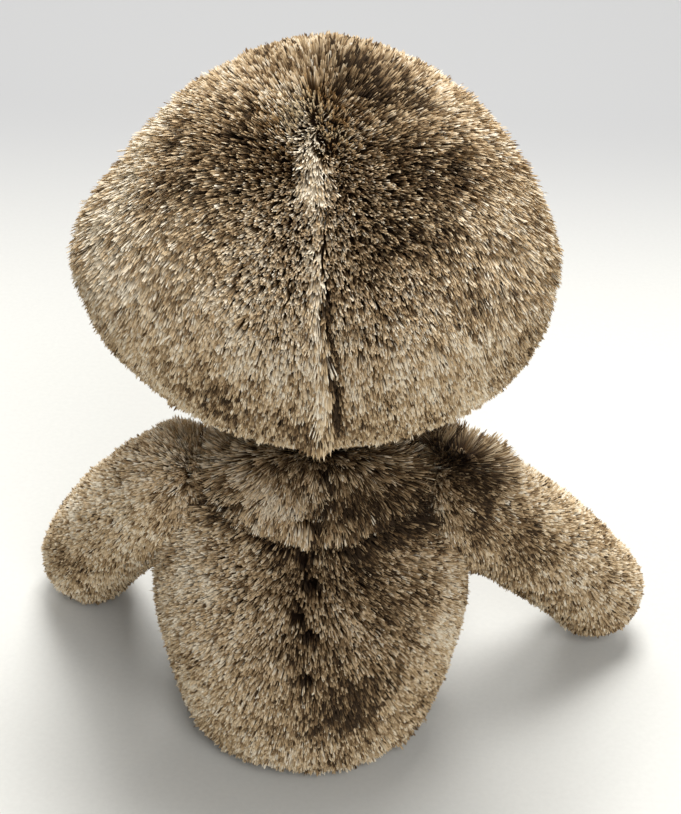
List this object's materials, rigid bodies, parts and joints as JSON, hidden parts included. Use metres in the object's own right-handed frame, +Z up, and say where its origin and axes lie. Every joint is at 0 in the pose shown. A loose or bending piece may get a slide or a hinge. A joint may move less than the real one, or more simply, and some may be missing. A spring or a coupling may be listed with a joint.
{
  "type": "plush sloth",
  "caption": "Small stuffed plush sloth, seated: a big rounded head that turns and nods on a pear-shaped body, with short arms hanging at the sides and legs to the front.",
  "frame": {"origin": "centre of the flat seat, on the surface that the toy sits on", "axes": "+Z up through the head, -Y the way the face looks, +X to the toy's own left"},
  "size_m": [0.1297, 0.0954, 0.1478],
  "materials": {
    "brown_plush": "long mottled pile, dark at the roots and cream at the tips",
    "face_plush": "short cream pile",
    "patch_plush": "short dark brown pile",
    "filling": "loose polyester fibre",
    "pouch_cloth": "plain woven, filled with pellets",
    "thread": "matt sewing thread",
    "eye_plastic": "polished",
    "nose_plastic": "satin",
    "washer_plastic": "natural"
  },
  "bodies": {
    "torso": {"torso_left_back_panel": "brown_plush", "torso_right_back_panel": "brown_plush", "belly_panel": "brown_plush", "seat_panel": "brown_plush", "torso_filling": "filling", "pellet_pouch": "pouch_cloth", "torso_back_seam_thread": "thread", "left_hip_seam_thread": "thread", "right_hip_seam_thread": "thread"},
    "neck_seam": {"neck_seam_thread": "thread"},
    "head": {"head_left_panel": "brown_plush", "head_right_panel": "brown_plush", "head_hood_panel": "brown_plush", "face_panel": "face_plush", "left_eye_patch": "patch_plush", "right_eye_patch": "patch_plush", "left_eye": "eye_plastic", "right_eye": "eye_plastic", "left_eye_washer": "washer_plastic", "right_eye_washer": "washer_plastic", "nose": "nose_plastic", "nose_washer": "washer_plastic", "mouth_stitch": "thread", "head_filling": "filling", "head_back_seam_thread": "thread"},
    "left_shoulder_seam": {"left_shoulder_seam_thread": "thread"},
    "left_arm": {"left_arm_back_panel": "brown_plush", "left_arm_front_panel": "brown_plush", "left_arm_filling": "filling"},
    "right_shoulder_seam": {"right_shoulder_seam_thread": "thread"},
    "right_arm": {"right_arm_back_panel": "brown_plush", "right_arm_front_panel": "brown_plush", "right_arm_filling": "filling"},
    "left_leg": {"left_leg_top_panel": "brown_plush", "left_leg_bottom_panel": "brown_plush", "left_leg_filling": "filling"},
    "right_leg": {"right_leg_top_panel": "brown_plush", "right_leg_bottom_panel": "brown_plush", "right_leg_filling": "filling"}
  },
  "joints": [
    {"name": "neck_turn", "type": "hinge", "parent": "torso", "child": "neck_seam", "pos_m": [0, -0.005, 0.0685], "axis": [0, 0, 1], "range_deg": [-30, 30]},
    {"name": "neck_nod", "type": "hinge", "parent": "neck_seam", "child": "head", "pos_m": [0, -0.005, 0.0685], "axis": [1, 0, 0], "range_deg": [-10, 10]},
    {"name": "left_shoulder_swing", "type": "hinge", "parent": "torso", "child": "left_shoulder_seam", "pos_m": [0.026, -0.003, 0.055], "axis": [-1, 0, 0], "range_deg": [0, 60]},
    {"name": "left_arm_lift", "type": "hinge", "parent": "left_shoulder_seam", "child": "left_arm", "pos_m": [0.026, -0.003, 0.055], "axis": [0, -1, 0], "range_deg": [0, 45]},
    {"name": "right_shoulder_swing", "type": "hinge", "parent": "torso", "child": "right_shoulder_seam", "pos_m": [-0.026, -0.003, 0.055], "axis": [-1, 0, 0], "range_deg": [0, 60]},
    {"name": "right_arm_lift", "type": "hinge", "parent": "right_shoulder_seam", "child": "right_arm", "pos_m": [-0.026, -0.003, 0.055], "axis": [0, 1, 0], "range_deg": [0, 45]},
    {"name": "left_leg_lift", "type": "hinge", "parent": "torso", "child": "left_leg", "pos_m": [0.0155, -0.0185, 0.012], "axis": [-1, 0, 0], "range_deg": [0, 30]},
    {"name": "right_leg_lift", "type": "hinge", "parent": "torso", "child": "right_leg", "pos_m": [-0.0155, -0.0185, 0.012], "axis": [-1, 0, 0], "range_deg": [0, 30]}
  ]
}
